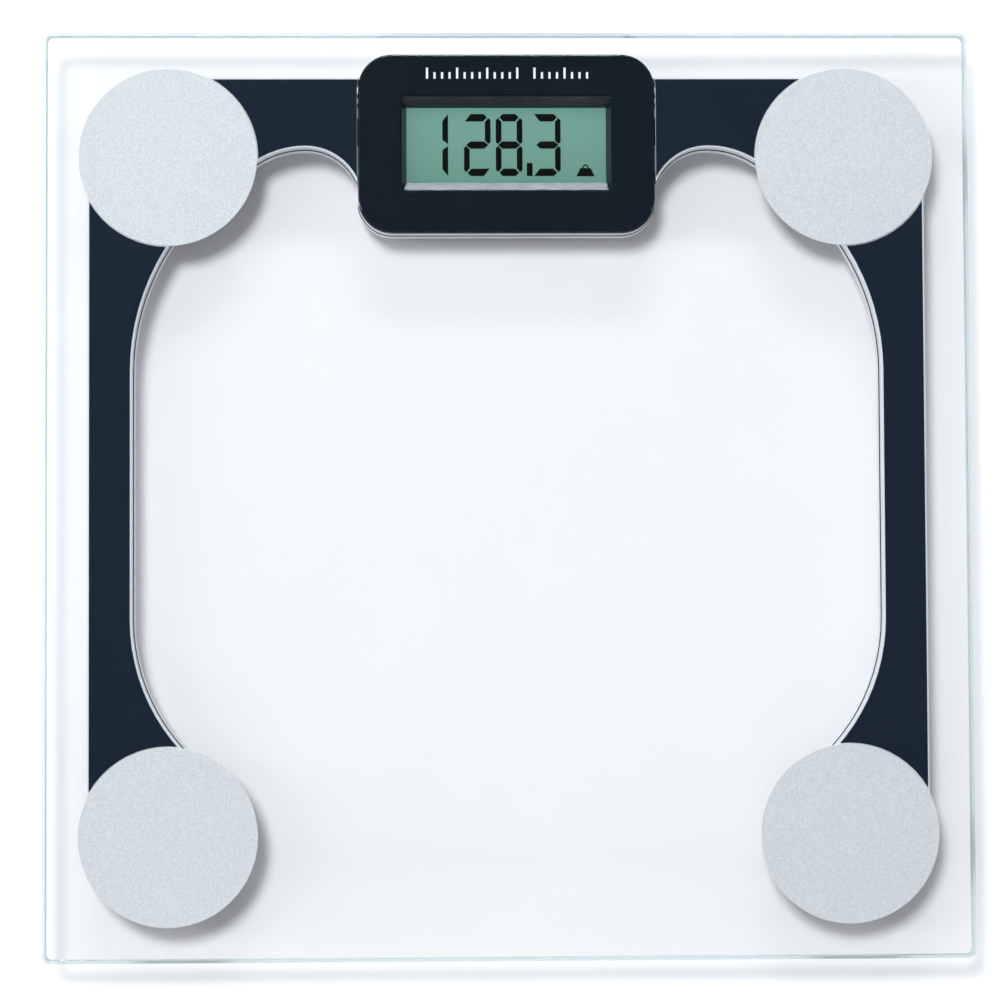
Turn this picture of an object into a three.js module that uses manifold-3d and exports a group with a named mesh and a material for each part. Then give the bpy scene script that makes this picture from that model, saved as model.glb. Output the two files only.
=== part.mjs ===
// Digital bathroom scale: a square glass platform on four load-cell feet, with dark plastic side
// frames under the glass that carry the wiring to a display unit at the middle of the far edge.
// Millimetres, +Z up, +Y towards the display, origin on the floor under the middle of the platform.
import * as THREE from "three";
import { mergeVertices } from "three/addons/utils/BufferGeometryUtils.js";
import Module from "manifold-3d";

const wasm = await Module();
wasm.setup();

// ---------------------------------------------------------------- driving dimensions
const PLATFORM = 300;
const HEIGHT = 24;
const GLASS_THICK = 6;
const GLASS_CORNER_R = 3;
const GLASS_ARRIS = 0.8;
const BOND = 0.5; // thickness of the discs and tapes between the glass and the plastic
const GAP = 0.3; // clearance between neighbouring pieces
const WALL = 1.8; // plastic wall and skin thickness
const BITE = 0.3; // how far a rib or boss runs into the skin it stands on
const CHORD = 0.05; // how far a round outline's chords may stand off its arc

const GLASS_UNDER = HEIGHT - GLASS_THICK;
const FRAME_TOP = GLASS_UNDER - BOND;
const FRAME_UNDER = 9;
const SKIN_UNDER = FRAME_TOP - WALL;

const FRAME_EDGE = 136; // outer edge of the side frames, from the middle of the platform
const ARM_INNER = 121.7; // inner edge of a side arm
const POD = { x: 110, y: 110, r: 26 }; // the round end of a side frame, one over each foot
const NEAR_POD = { x: POD.x, y: -POD.y, r: POD.r };
const SCALLOP = { x: 65.5, y: 95, r: 18.2 }; // hollow beside the display
const SCALLOP_RUN = { x: 65.5, y: 84.2, r: 29 }; // the same hollow's longer side, towards the pod
const BAR_END = 42;
const FAR_FLARE = { x: ARM_INNER - 75, y: 40.5, r: 75 }; // the arm widening towards the far pod
const NEAR_FLARE = { x: ARM_INNER - 62, y: -40, r: 62 }; // and towards the near pod

// The tongue on the end of a side frame's bar, which slides into a slot of the display housing.
const TONGUE = { x: [42, 62], root: [52, 62], y: [114, 123], thick: 1.8 };

const DISC_R = 29;
const TAPE_INSET = 0.6;
const TAPE_END = 0.1; // the same, at the end of a bar beside the display unit
const TAPE_WINDOW = 1; // how much larger than the window the opening in the display tape is

const COVER_THICK = 1.4;
const COVER_TOP = FRAME_UNDER + COVER_THICK;
const ARM_SCREW = { x: 126.4, y: 55 };
const BAR_SCREW = { x: 66, y: 120.5 };
const COVER_HOLE = { r: 1.6, sinkR: 2.7, sinkDepth: 0.9 };

const BOSS_R = 3;
const PILOT_R = 1.5; // hole for a screw's shank in a boss
const SCREW_TIP = 1; // length of the taper at a screw's point
const SCREW_SIDES = 10;
const ROUND_SIDES = 24; // feet, pads and other small turned pieces

const CELL_SIDE = 28; // load cell plate
const CELL_RIM = 4.5;
const CELL_SLOT = 2.5;
const CELL_Z = [12.3, 13.5];
const RAIL = { length: 24, width: 2.4, offset: 12.7 }; // ribs that grip the load cell's rim
const RETAINER_TOP = 10.5;
const FOOT_HOLE_R = 10.2;
const FOOT = { r: 17, under: 1, cup: 2.2, side: [1.8, 4.6], shoulder: 6, neck: 6.6 };
const COLLAR_R = 9;
const STEM_R = 4.5;
const PAD_R = 14;

const WIRE_R = 0.8;
const WIRE_SIDES = 8;
const WIRE_STEP = 6;
const WIRE_Z = 14.7;

const DISPLAY = { x: 0, y: 114.4, width: 96.6, depth: 58.5, r: 11 };
const SPLIT_Z = 8; // parting plane between the display housing and its back cover
const BACK_UNDER = 4.2;
const BACK_PLATE = 1.6;
const BACK_INSET = 0.4;
const WINDOW_TOP = { width: 68.2, depth: 31.1 };
const WINDOW_FLOOR = { width: 65.2, depth: 24.6, z: 13.7 };
const WINDOW_SURROUND = { width: 71.6, depth: 34 };
const TONGUE_SLOT = { y: [113.7, 123.3], depth: 2.4 };
const WIRE_SLOT = { y: [125.8, 132], low: 12.8 };
const CASE_BOSS_R = 3.4;
const CASE_PILOT_TOP = 14;
const PILLAR = { r: 4.2, holeR: 1.6, sinkR: 3, sinkDepth: 1.4 };
const CASE_SCREWS = [
  ["far_left", -41, 137],
  ["far_right", 41, 137],
  ["near_left", -41, 92],
  ["near_right", 41, 92],
];
const BOARD = { width: 74, y: [92.5, 137.5], z: [9.5, 10.5] };
const BOARD_SCREW = { x: 30, y: 133 };
const BOARD_BOSS = { r: 2.4, pilotR: 1.2, pilotTop: 13.6 };
const BOARD_HOLE_R = 1.3;
const LCD = { width: 69, depth: 29, z: [11.8, 13.6] };
const ZEBRA = { width: 66, y: [100.5, 102.7] };
const CHIP = { y: 113, r: 7, height: 0.9 };
const CELL_BATTERY = { x: 22, y: 98, r: 10, z: [5.9, 9.1] };
const CONTACT_Z = [9.15, 9.45];
const CONTACT_WIDTH = 6;
const CONTACT_THICK = 0.4;
const DOOR = { width: 24.4, flange: 26.6, y: [85.55, 110.3], z: [BACK_UNDER, 5, 5.7] };
const DOOR_LIP = 1.6;
const DOOR_GROOVE = { length: 12, width: 0.8, depth: 0.4, first: 90.5, pitch: 2, count: 4 };
// The rails the battery door runs in: their inner edges, above and beside the door's flange.
const GUIDE = { over: 12.6, beside: 14, outer: 16, start: 88 };
const BUTTON = { x: -22, y: 100, r: 4.4, z: [4.4, 6, 6.7], flange: 5.6, round: 0.5 };
const SWITCH = { side: 6, low: 8, plungerR: 1.6, plungerTip: 7.4 };

const CORNERS = [
  ["far_left", -1, 1],
  ["far_right", 1, 1],
  ["near_left", -1, -1],
  ["near_right", 1, -1],
];
const SIDES = [
  ["left", -1],
  ["right", 1],
];

// ---------------------------------------------------------------- materials
const finish = (color, roughness, metalness = 0) =>
  new THREE.MeshStandardMaterial({ color, roughness, metalness });
const clearGlass = finish(0xe8f2f0, 0.05);
clearGlass.transparent = true;
clearGlass.opacity = 0.35;
const silver = finish(0xd3dde6, 0.45, 0.6);
const palePlastic = finish(0xc3c9cf, 0.4);
const glossPlastic = finish(0x1a242d, 0.25);
const tapeFilm = finish(0x232f39, 0.7);
const rubber = finish(0x1b1c1e, 0.9);
const footPlastic = finish(0x2a3036, 0.55);
const steel = finish(0xb9bdc0, 0.35, 0.9);
const springMetal = finish(0xc9b77a, 0.35, 0.9);
const boardGreen = finish(0x1f6b3f, 0.5);
const epoxy = finish(0x101214, 0.6);
const lcdGreen = finish(0x72a092, 0.3);
const pinkRubber = finish(0xc98f9a, 0.8);
const wireJacket = finish(0x2b2c2f, 0.6);
const buttonGrey = finish(0x9aa3ab, 0.5);

// ---------------------------------------------------------------- solids and outlines
// The geometry with only its positions, each shared by the faces that meet there.
function shared(geometry) {
  const bare = geometry.index ? geometry.toNonIndexed() : geometry.clone();
  bare.deleteAttribute("normal");
  bare.deleteAttribute("uv");
  return mergeVertices(bare, 1e-4);
}

function solidOf(geometry) {
  const bare = shared(geometry);
  return new wasm.Manifold(
    new wasm.Mesh({
      numProp: 3,
      vertProperties: bare.attributes.position.array,
      triVerts: new Uint32Array(bare.index.array),
    }),
  );
}

function geometryOf(solid) {
  const mesh = solid.getMesh();
  const geometry = new THREE.BufferGeometry();
  geometry.setAttribute("position", new THREE.BufferAttribute(mesh.vertProperties, 3));
  geometry.setIndex(new THREE.BufferAttribute(mesh.triVerts, 1));
  geometry.computeVertexNormals();
  return geometry;
}

const join = (...bodies) => geometryOf(bodies.map(solidOf).reduce((a, b) => a.add(b)));
const cut = (body, ...tools) =>
  geometryOf(tools.map(solidOf).reduce((a, b) => a.subtract(b), solidOf(body)));
const common = (a, b) => geometryOf(solidOf(a).intersect(solidOf(b)));

// The same geometry on the other side of the middle plane X = 0, with its faces still pointing out.
function mirrored(geometry) {
  const copy = shared(geometry).scale(-1, 1, 1);
  const index = copy.index.array;
  for (let i = 0; i < index.length; i += 3) {
    [index[i + 1], index[i + 2]] = [index[i + 2], index[i + 1]];
  }
  copy.computeVertexNormals();
  return copy;
}

const onSide = (geometry, side) => (side > 0 ? geometry : mirrored(geometry));

function prism(points, low, high) {
  const options = { depth: high - low, bevelEnabled: false };
  return new THREE.ExtrudeGeometry(new THREE.Shape(points), options).translate(0, 0, low);
}

function box(x, y, z) {
  const size = [x, y, z].map(([low, high]) => high - low);
  const middle = [x, y, z].map(([low, high]) => (low + high) / 2);
  return new THREE.BoxGeometry(...size).translate(...middle);
}

const span = (middle, width) => [middle - width / 2, middle + width / 2];

// How many chords an arc of this radius and angle takes.
const chords = (r, angle) => Math.ceil(Math.abs(angle) / (2 * Math.acos(1 - CHORD / r)));

function rod(x, y, r, low, high) {
  const sides = Math.max(10, chords(r, 2 * Math.PI));
  return new THREE.CylinderGeometry(r, r, high - low, sides)
    .rotateX(Math.PI / 2)
    .translate(x, y, (low + high) / 2);
}

// A body of revolution about the vertical through the origin, from [radius, height] pairs.
function turned(profile, sides) {
  const points = profile.map(([r, z]) => new THREE.Vector2(r, z));
  return new THREE.LatheGeometry(points, sides).rotateX(Math.PI / 2);
}

// Points along a circle from one angle to another.
function arc(circle, from, to) {
  const count = chords(circle.r, to - from);
  return Array.from({ length: count + 1 }, (_, i) => {
    const angle = from + ((to - from) * i) / count;
    const x = circle.x + circle.r * Math.cos(angle);
    const y = circle.y + circle.r * Math.sin(angle);
    return new THREE.Vector2(x, y);
  });
}

// Where two circles cross, on the left of the line from a's centre to b's.
function crossing(a, b) {
  const dx = b.x - a.x;
  const dy = b.y - a.y;
  const d = Math.hypot(dx, dy);
  const along = (a.r ** 2 - b.r ** 2 + d ** 2) / (2 * d);
  const off = Math.sqrt(a.r ** 2 - along ** 2);
  return new THREE.Vector2(a.x + (dx * along - dy * off) / d, a.y + (dy * along + dx * off) / d);
}

const angleAt = (circle, point) => Math.atan2(point.y - circle.y, point.x - circle.x);
const grown = (circle, by) => ({ ...circle, r: circle.r + by });

// Outline of the right side frame, pulled in by inset: upper bar, far pod, side arm, near pod.
// The bar runs on to BAR_END, inside the display unit, whose own outline then cuts it off.
function frameOutline(inset) {
  const pod = grown(POD, -inset);
  const nearPod = grown(NEAR_POD, -inset);
  const scallop = grown(SCALLOP, inset);
  const run = grown(SCALLOP_RUN, inset);
  const farFlare = grown(FAR_FLARE, inset);
  const nearFlare = grown(NEAR_FLARE, inset);
  const runEnd = crossing(run, pod);
  const farEnd = crossing(pod, farFlare);
  const nearEnd = crossing(nearFlare, nearPod);
  const turn = 2 * Math.PI;
  return [
    new THREE.Vector2(BAR_END, FRAME_EDGE - inset),
    new THREE.Vector2(BAR_END, scallop.y),
    ...arc(scallop, Math.PI, Math.PI / 2),
    ...arc(run, Math.PI / 2, angleAt(run, runEnd)).slice(1, -1),
    ...arc(pod, angleAt(pod, runEnd) + turn, angleAt(pod, farEnd) + turn),
    ...arc(farFlare, angleAt(farFlare, farEnd), 0).slice(1),
    ...arc(nearFlare, 0, angleAt(nearFlare, nearEnd)).slice(0, -1),
    ...arc(nearPod, angleAt(nearPod, nearEnd), turn),
    ...arc(pod, 0, Math.PI / 2),
  ];
}

// A rectangle with round corners, grown by the given amount all round.
function roundedRectangle({ x, y, width, depth, r }, by = 0) {
  const corner = r + by;
  const dx = width / 2 - r;
  const dy = depth / 2 - r;
  const quarter = Math.PI / 2;
  const centres = [
    [dx, dy],
    [-dx, dy],
    [-dx, -dy],
    [dx, -dy],
  ];
  return centres.flatMap(([cx, cy], i) =>
    arc({ x: x + cx, y: y + cy, r: corner }, i * quarter, (i + 1) * quarter),
  );
}

const scale = new THREE.Group();
scale.name = "digital_bathroom_scale";

function add(name, geometry, material, [x, y, z] = [0, 0, 0]) {
  const mesh = new THREE.Mesh(geometry, material);
  mesh.name = name;
  mesh.position.set(x, y, z);
  scale.add(mesh);
}

// ---------------------------------------------------------------- platform
function glassPlatform() {
  const inner = PLATFORM - 2 * GLASS_ARRIS;
  const outline = { x: 0, y: 0, width: inner, depth: inner, r: GLASS_CORNER_R - GLASS_ARRIS };
  const options = {
    depth: GLASS_THICK - 2 * GLASS_ARRIS,
    bevelEnabled: true,
    bevelThickness: GLASS_ARRIS,
    bevelSize: GLASS_ARRIS,
    bevelSegments: 1,
  };
  const shape = new THREE.Shape(roundedRectangle(outline));
  return new THREE.ExtrudeGeometry(shape, options).translate(0, 0, GLASS_UNDER + GLASS_ARRIS);
}

add("glass_platform", glassPlatform(), clearGlass);
CORNERS.forEach(([corner, sx, sy]) => {
  add(`corner_disc_${corner}`, rod(sx * POD.x, sy * POD.y, DISC_R, FRAME_TOP, GLASS_UNDER), silver);
});

// Double-sided tape on the flat top of a side frame, cut clear of the discs and the display unit.
function frameTape(region) {
  const sheet = prism(frameOutline(TAPE_INSET), FRAME_TOP, GLASS_UNDER);
  const clear = cut(
    sheet,
    rod(POD.x, POD.y, DISC_R + GAP, FRAME_TOP - 1, GLASS_UNDER + 1),
    rod(NEAR_POD.x, NEAR_POD.y, DISC_R + GAP, FRAME_TOP - 1, GLASS_UNDER + 1),
    prism(roundedRectangle(DISPLAY, GAP + TAPE_END), FRAME_TOP - 1, GLASS_UNDER + 1),
  );
  return common(clear, region);
}

// The part of a side frame between the display unit and the far pod, and the part between the pods.
const barRegion = box([DISPLAY.width / 2 + 1, 100], [95, FRAME_EDGE], [0, HEIGHT]);
const armRegion = box([95, FRAME_EDGE], [-100, 100], [0, HEIGHT]);
// A bar's tape also follows the rounded corner of the display unit.
const barTapeRegion = box([DISPLAY.width / 2 - 4, 100], [95, FRAME_EDGE], [0, HEIGHT]);

function displayTape() {
  const width = WINDOW_TOP.width + TAPE_WINDOW;
  const ring = { ...DISPLAY, width, depth: WINDOW_TOP.depth + TAPE_WINDOW, r: 2 };
  return cut(
    prism(roundedRectangle(DISPLAY, -TAPE_INSET), FRAME_TOP, GLASS_UNDER),
    prism(roundedRectangle(ring), FRAME_TOP - 1, GLASS_UNDER + 1),
  );
}

SIDES.forEach(([side, sx]) => {
  add(`bar_tape_${side}`, onSide(frameTape(barTapeRegion), sx), tapeFilm);
  add(`arm_tape_${side}`, onSide(frameTape(armRegion), sx), tapeFilm);
});
add("display_tape", displayTape(), tapeFilm);

// ---------------------------------------------------------------- side frames and their covers

function rails(middle, low, high) {
  return [-1, 1].map((way) =>
    box(span(middle.x, RAIL.length), span(middle.y + way * RAIL.offset, RAIL.width), [low, high]),
  );
}

const coverScrewPlaces = [
  ["arm_far", ARM_SCREW.x, ARM_SCREW.y],
  ["arm_near", ARM_SCREW.x, -ARM_SCREW.y],
  ["bar", BAR_SCREW.x, BAR_SCREW.y],
];

function sideFrame() {
  const into = SKIN_UNDER + BITE;
  const shell = cut(
    prism(frameOutline(0), FRAME_UNDER, FRAME_TOP),
    prism(frameOutline(WALL), FRAME_UNDER - 1, SKIN_UNDER),
  );
  const bosses = coverScrewPlaces.map(([, x, y]) => rod(x, y, BOSS_R, COVER_TOP + 0.1, into));
  const ribs = [POD, NEAR_POD].flatMap((pod) => rails(pod, CELL_Z[1], into));
  const pilots = coverScrewPlaces.map(([, x, y]) => rod(x, y, PILOT_R, COVER_TOP, SKIN_UNDER - 0.5));
  const ended = cut(
    join(shell, ...bosses, ...ribs),
    ...pilots,
    prism(roundedRectangle(DISPLAY, GAP), 0, HEIGHT),
  );
  const tongueTop = SKIN_UNDER - GAP;
  const tongue = box(TONGUE.x, TONGUE.y, [tongueTop - TONGUE.thick, tongueTop]);
  const tongueRoot = box(TONGUE.root, TONGUE.y, [tongueTop - 2 * BITE, into]);
  return join(ended, tongueRoot, tongue);
}

function channelCover(region, places) {
  const plate = cut(
    prism(frameOutline(WALL + GAP), FRAME_UNDER, COVER_TOP),
    ...[POD, NEAR_POD].map((pod) => rod(pod.x, pod.y, pod.r - WALL, 0, HEIGHT)),
    ...places.map(([, x, y]) => rod(x, y, COVER_HOLE.r, 0, HEIGHT)),
    ...places.map(([, x, y]) => rod(x, y, COVER_HOLE.sinkR, 0, FRAME_UNDER + COVER_HOLE.sinkDepth)),
  );
  return common(plate, region);
}

// A self-tapping screw with its head down at height 0.
function screw(headR, headHeight, shankR, length) {
  const profile = [
    [0, 0],
    [headR, 0],
    [headR, headHeight],
    [shankR, headHeight],
    [shankR, length - SCREW_TIP],
    [0, length],
  ];
  return turned(profile, SCREW_SIDES);
}

const coverScrew = screw(2.3, 0.8, 1.2, 5);
SIDES.forEach(([side, sx]) => {
  add(`side_frame_${side}`, onSide(sideFrame(), sx), palePlastic);
  const barCover = channelCover(barRegion, coverScrewPlaces.slice(2));
  const armCover = channelCover(armRegion, coverScrewPlaces.slice(0, 2));
  add(`bar_cover_${side}`, onSide(barCover, sx), palePlastic);
  add(`arm_cover_${side}`, onSide(armCover, sx), palePlastic);
  coverScrewPlaces.forEach(([place, x, y]) => {
    add(`cover_screw_${place}_${side}`, coverScrew, steel, [sx * x, y, FRAME_UNDER]);
  });
});

// ---------------------------------------------------------------- load cells and feet
// A stamped plate: a square rim with a tongue standing in from its far side.
function loadCell() {
  const plate = box(span(0, CELL_SIDE), span(0, CELL_SIDE), CELL_Z);
  const inner = CELL_SIDE / 2 - CELL_RIM;
  const slot = [CELL_Z[0] - 1, CELL_Z[1] + 1];
  return cut(
    plate,
    box([-inner, -inner + CELL_SLOT], [-inner, inner], slot),
    box([inner - CELL_SLOT, inner], [-inner, inner], slot),
    box([-inner, inner], [-inner, -inner + CELL_SLOT], slot),
  );
}

function retainer() {
  const ring = cut(
    rod(0, 0, POD.r - WALL - GAP, FRAME_UNDER, RETAINER_TOP),
    rod(0, 0, FOOT_HOLE_R, 0, HEIGHT),
  );
  return join(ring, ...rails({ x: 0, y: 0 }, RETAINER_TOP - BITE, CELL_Z[0]));
}

// The foot: a shallow cup for the rubber pad, a collar through the retainer and a stem to the tongue.
const footProfile = [
  [0, FOOT.cup],
  [PAD_R + GAP, FOOT.cup],
  [PAD_R + GAP, FOOT.under],
  [FOOT.r - 0.8, FOOT.under],
  [FOOT.r, FOOT.side[0]],
  [FOOT.r, FOOT.side[1]],
  [FOOT.r - 1.6, FOOT.shoulder],
  [COLLAR_R, FOOT.neck],
  [COLLAR_R, RETAINER_TOP],
  [STEM_R, RETAINER_TOP],
  [STEM_R, CELL_Z[0]],
  [0, CELL_Z[0]],
];

const padProfile = [
  [0, 0],
  [PAD_R - 0.6, 0],
  [PAD_R, 0.6],
  [PAD_R, FOOT.cup],
  [0, FOOT.cup],
];

CORNERS.forEach(([corner, sx, sy]) => {
  const middle = [sx * POD.x, sy * POD.y, 0];
  add(`load_cell_${corner}`, loadCell(), steel, middle);
  add(`load_cell_retainer_${corner}`, retainer(), footPlastic, middle);
  add(`foot_${corner}`, turned(footProfile, ROUND_SIDES), footPlastic, middle);
  add(`foot_pad_${corner}`, turned(padProfile, ROUND_SIDES), rubber, middle);
});

// ---------------------------------------------------------------- wire looms
// Right-hand routes, from the load cell through the frame to the circuit board.
const farRoute = [
  [97, 118, WIRE_Z],
  [88, 122.5, WIRE_Z],
  [76, 126.6, WIRE_Z],
  [62, 127.4, WIRE_Z],
  [51, 127.4, WIRE_Z],
  [46, 127.4, 14.2],
  [41, 127.6, 12.4],
  [35.3, 127.6, 11.6],
];
const nearRoute = [
  [122.5, -114, WIRE_Z],
  [128.5, -108, WIRE_Z],
  [131.4, -95, WIRE_Z],
  [132.4, -75, WIRE_Z],
  [132.4, 75, WIRE_Z],
  [132, 102, WIRE_Z],
  [130, 118, WIRE_Z],
  [124.5, 127, WIRE_Z],
  [115, 131.6, WIRE_Z],
  [100, 131.8, WIRE_Z],
  [62, 130.4, WIRE_Z],
  [51, 130.4, WIRE_Z],
  [46, 130.4, 14.2],
  [41, 130.6, 12.4],
  [35.3, 130.6, 11.6],
];

function loom(route, side) {
  const points = route.map(([x, y, z]) => new THREE.Vector3(side * x, y, z));
  const path = new THREE.CatmullRomCurve3(points, false, "centripetal");
  const section = Array.from({ length: WIRE_SIDES }, (_, i) => {
    const angle = (2 * Math.PI * i) / WIRE_SIDES;
    return new THREE.Vector2(WIRE_R * Math.cos(angle), WIRE_R * Math.sin(angle));
  });
  const steps = Math.round(path.getLength() / WIRE_STEP);
  const options = { steps, extrudePath: path, bevelEnabled: false };
  return new THREE.ExtrudeGeometry(new THREE.Shape(section), options);
}

SIDES.forEach(([side, sx]) => {
  add(`wire_loom_far_${side}`, loom(farRoute, sx), wireJacket);
  add(`wire_loom_near_${side}`, loom(nearRoute, sx), wireJacket);
});

// ---------------------------------------------------------------- display unit
// A block whose plan size changes evenly from its floor to its top.
function funnel(y, floor, top, low, high) {
  const block = new THREE.BoxGeometry(1, 1, 1);
  const place = block.attributes.position;
  for (let i = 0; i < place.count; i += 1) {
    const size = place.getZ(i) > 0 ? top : floor;
    const z = place.getZ(i) > 0 ? high : low;
    place.setXYZ(i, place.getX(i) * size.width, place.getY(i) * size.depth, z);
  }
  return block.translate(0, y, 0);
}

function displayHousing() {
  const shell = cut(
    prism(roundedRectangle(DISPLAY), SPLIT_Z, FRAME_TOP),
    prism(roundedRectangle(DISPLAY, -WALL), SPLIT_Z - 1, SKIN_UNDER),
  );
  const into = SKIN_UNDER + BITE;
  const { width, depth } = WINDOW_SURROUND;
  const surround = box(span(0, width), span(DISPLAY.y, depth), [WINDOW_FLOOR.z, into]);
  const caseBosses = CASE_SCREWS.map(([, x, y]) => rod(x, y, CASE_BOSS_R, SPLIT_Z + 0.2, into));
  const boardBosses = [-1, 1].map((way) =>
    rod(way * BOARD_SCREW.x, BOARD_SCREW.y, BOARD_BOSS.r, BOARD.z[1] + 0.1, into),
  );
  const boardPilots = [-1, 1].map((way) =>
    rod(way * BOARD_SCREW.x, BOARD_SCREW.y, BOARD_BOSS.pilotR, 0, BOARD_BOSS.pilotTop),
  );
  const sideWalls = [-1, 1].map((way) => span((way * (DISPLAY.width - WALL)) / 2, 2 * WALL));
  return cut(
    join(shell, surround, ...caseBosses, ...boardBosses),
    funnel(DISPLAY.y, WINDOW_FLOOR, WINDOW_TOP, WINDOW_FLOOR.z - 0.01, FRAME_TOP + 0.01),
    ...CASE_SCREWS.map(([, x, y]) => rod(x, y, PILOT_R, 0, CASE_PILOT_TOP)),
    ...boardPilots,
    ...sideWalls.map((x) => box(x, TONGUE_SLOT.y, [SKIN_UNDER - TONGUE_SLOT.depth, SKIN_UNDER])),
    ...sideWalls.map((x) => box(x, WIRE_SLOT.y, [WIRE_SLOT.low, SKIN_UNDER])),
  );
}

// Back cover: a tray with screw pillars, an opening with rails for the battery door, and a button hole.
function backCover() {
  const plateTop = BACK_UNDER + BACK_PLATE;
  const rim = SPLIT_Z - 0.2;
  const doorX = CELL_BATTERY.x;
  const slotEnd = DOOR.y[1] + GAP;
  const tray = cut(
    prism(roundedRectangle(DISPLAY, -BACK_INSET), BACK_UNDER, rim),
    prism(roundedRectangle(DISPLAY, -BACK_INSET - WALL), plateTop, HEIGHT),
  );
  const pillars = CASE_SCREWS.map(([, x, y]) => rod(x, y, PILLAR.r, plateTop - BITE, rim));
  const guideY = [GUIDE.start, slotEnd];
  const doorGuides = [-1, 1].flatMap((way) => {
    const edge = (from) => [from, GUIDE.outer].map((d) => doorX + way * d).sort((a, b) => a - b);
    return [
      box(edge(GUIDE.over), guideY, [plateTop + 0.2, plateTop + 1.4]),
      box(edge(GUIDE.beside), guideY, [plateTop - BITE, plateTop + 0.6]),
    ];
  });
  const doorWay = span(doorX, DOOR.width + 2 * GAP);
  const outside = DISPLAY.y - DISPLAY.depth;
  return cut(
    join(tray, ...pillars, ...doorGuides),
    ...CASE_SCREWS.map(([, x, y]) => rod(x, y, PILLAR.holeR, 0, HEIGHT)),
    ...CASE_SCREWS.map(([, x, y]) => rod(x, y, PILLAR.sinkR, 0, BACK_UNDER + PILLAR.sinkDepth)),
    box(doorWay, [outside, slotEnd], [0, DOOR.z[1]]),
    box(span(doorX, DOOR.flange + 1), [outside, slotEnd], [DOOR.z[1] - 0.2, plateTop + 0.1]),
    box(doorWay, [outside, GUIDE.start - 0.4], [0, HEIGHT]),
    rod(BUTTON.x, BUTTON.y, BUTTON.r + 0.4, 0, HEIGHT),
  );
}

// Sliding battery door: outer plate with finger grooves, side flanges that run in the rails, front lip.
function batteryDoor() {
  const [under, ledge, top] = DOOR.z;
  const x = CELL_BATTERY.x;
  const plate = box(span(x, DOOR.width), DOOR.y, [under, ledge]);
  const flange = box(span(x, DOOR.flange), DOOR.y, [ledge - 0.1, top]);
  const lip = box(span(x, DOOR.width), [DOOR.y[0], DOOR.y[0] + DOOR_LIP], [under, SPLIT_Z - 0.4]);
  const { length, width, depth, first, pitch, count } = DOOR_GROOVE;
  const grooves = Array.from({ length: count }, (_, i) =>
    box(span(x, length), span(first + i * pitch, width), [0, under + depth]),
  );
  return cut(join(plate, flange, lip), ...grooves);
}

function unitButton() {
  const [under, ledge, top] = BUTTON.z;
  const profile = [
    [0, under],
    [BUTTON.r - BUTTON.round, under],
    [BUTTON.r, under + BUTTON.round],
    [BUTTON.r, ledge],
    [BUTTON.flange, ledge],
    [BUTTON.flange, top],
    [0, top],
  ];
  return turned(profile, ROUND_SIDES).translate(BUTTON.x, BUTTON.y, 0);
}

function tactSwitch() {
  const { side, low, plungerR, plungerTip } = SWITCH;
  const body = box(span(BUTTON.x, side), span(BUTTON.y, side), [low, BOARD.z[0]]);
  return join(body, rod(BUTTON.x, BUTTON.y, plungerR, plungerTip, low + 0.2));
}

function circuitBoard() {
  return cut(
    box(span(0, BOARD.width), BOARD.y, BOARD.z),
    ...[-1, 1].map((way) => rod(way * BOARD_SCREW.x, BOARD_SCREW.y, BOARD_HOLE_R, 0, HEIGHT)),
  );
}

function positiveContact() {
  const blade = CELL_BATTERY.x + CELL_BATTERY.r + GAP;
  const y = span(CELL_BATTERY.y, CONTACT_WIDTH);
  return join(
    box([blade, blade + CONTACT_THICK], y, [CELL_BATTERY.z[0] + 0.5, CONTACT_Z[1]]),
    box([blade, blade + 3.5], y, CONTACT_Z),
  );
}

// A shallow blob of resin over the bare chip.
const chipProfile = [
  [0, 0],
  [CHIP.r, 0],
  [CHIP.r - 1.5, 0.6],
  [CHIP.r - 4, CHIP.height - 0.05],
  [0, CHIP.height],
];

const cellProfile = [
  [0, CELL_BATTERY.z[0]],
  [CELL_BATTERY.r - 0.4, CELL_BATTERY.z[0]],
  [CELL_BATTERY.r, CELL_BATTERY.z[0] + 0.4],
  [CELL_BATTERY.r, CELL_BATTERY.z[1] - 0.5],
  [CELL_BATTERY.r - 1, CELL_BATTERY.z[1] - 0.3],
  [CELL_BATTERY.r - 1.2, CELL_BATTERY.z[1]],
  [0, CELL_BATTERY.z[1]],
];

add("display_housing", displayHousing(), glossPlastic);
add("display_back_cover", backCover(), palePlastic);
add("battery_door", batteryDoor(), palePlastic);
add("unit_button", unitButton(), buttonGrey);
add("tact_switch", tactSwitch(), epoxy);
add("circuit_board", circuitBoard(), boardGreen);
add("controller_chip", turned(chipProfile, ROUND_SIDES), epoxy, [0, CHIP.y, BOARD.z[1]]);
add("lcd_panel", box(span(0, LCD.width), span(DISPLAY.y, LCD.depth), LCD.z), lcdGreen);
add("zebra_strip", box(span(0, ZEBRA.width), ZEBRA.y, [BOARD.z[1], LCD.z[0]]), pinkRubber);
add("coin_cell", turned(cellProfile, ROUND_SIDES).translate(CELL_BATTERY.x, CELL_BATTERY.y, 0), steel);
add("battery_contact_positive", positiveContact(), springMetal);
add(
  "battery_contact_negative",
  box(span(CELL_BATTERY.x, 14), span(CELL_BATTERY.y, 4), CONTACT_Z),
  springMetal,
);

const caseScrew = screw(2.7, 1.2, 1.2, 9);
CASE_SCREWS.forEach(([corner, x, y]) => {
  add(`case_screw_${corner}`, caseScrew, steel, [x, y, BACK_UNDER + 0.1]);
});

const boardScrew = screw(2.2, 1, 0.9, 4.4);
SIDES.forEach(([side, sx]) => {
  add(`board_screw_${side}`, boardScrew, steel, [sx * BOARD_SCREW.x, BOARD_SCREW.y, BOARD.z[0] - 1]);
});

export default scale;
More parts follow.
